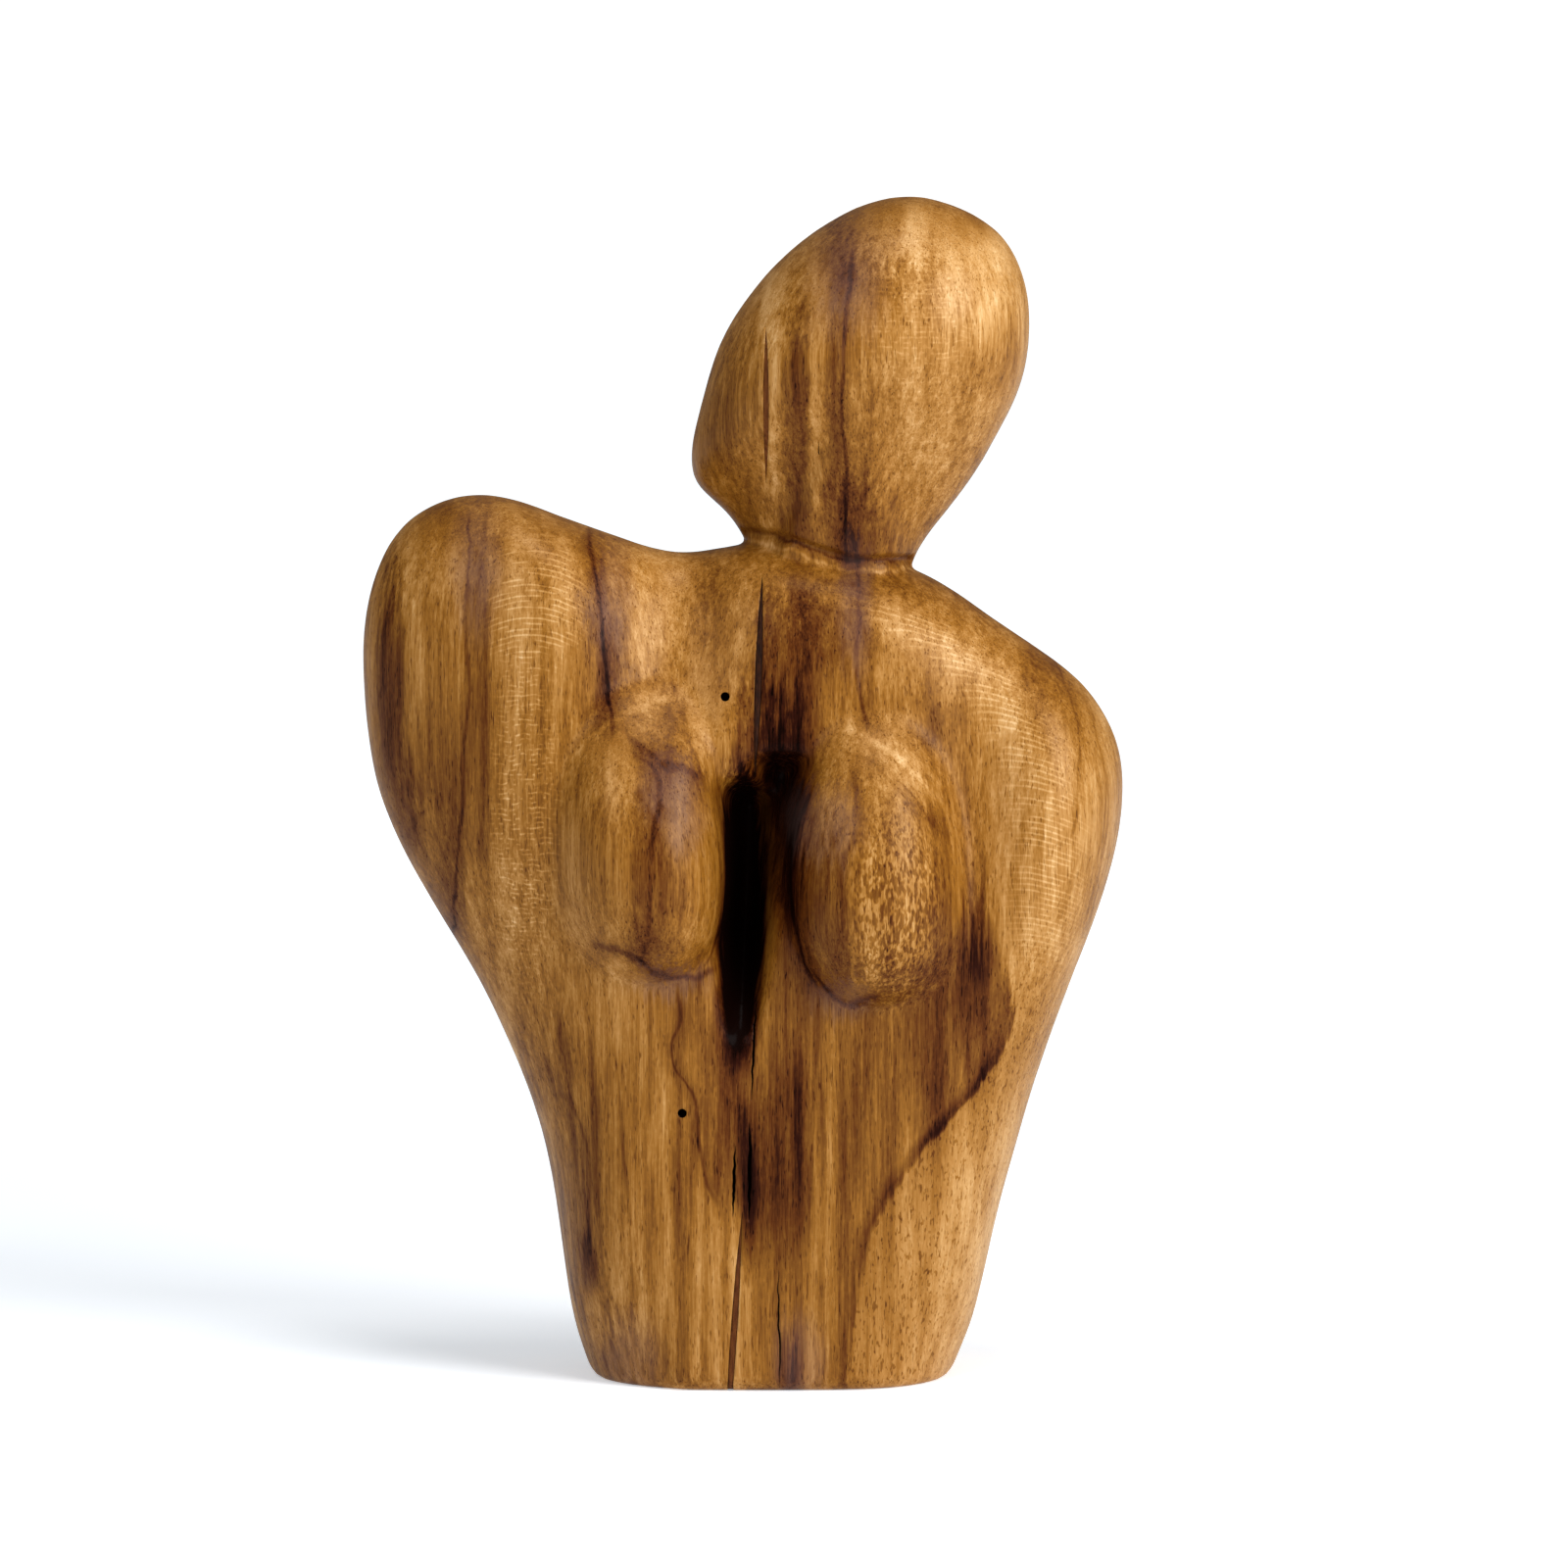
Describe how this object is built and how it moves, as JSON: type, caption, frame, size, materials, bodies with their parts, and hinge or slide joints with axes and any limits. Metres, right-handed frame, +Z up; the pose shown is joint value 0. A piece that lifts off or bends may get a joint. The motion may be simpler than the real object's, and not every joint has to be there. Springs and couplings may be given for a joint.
{
  "type": "carved wooden figure",
  "caption": "Abstract standing bust carved from one block of wood: featureless oval head leaning to one side, one raised shoulder, two breasts with a deep hollow between them, flat foot.",
  "frame": {"origin": "centre of the flat foot, on the surface the figure stands on", "axes": "+Z up towards the crown, -Y the way the chest faces, +X towards the low shoulder and the side the head leans to"},
  "size_m": [0.129, 0.0581, 0.2],
  "materials": {
    "carved_wood": "hand-sanded and waxed, satin",
    "dark_filler": "dark red-brown stopping, sanded flush"
  },
  "bodies": {
    "root": {"carved_figure": "carved_wood", "head_check_filler": "dark_filler", "chest_check_filler": "dark_filler", "foot_check_filler": "dark_filler"}
  },
  "joints": []
}
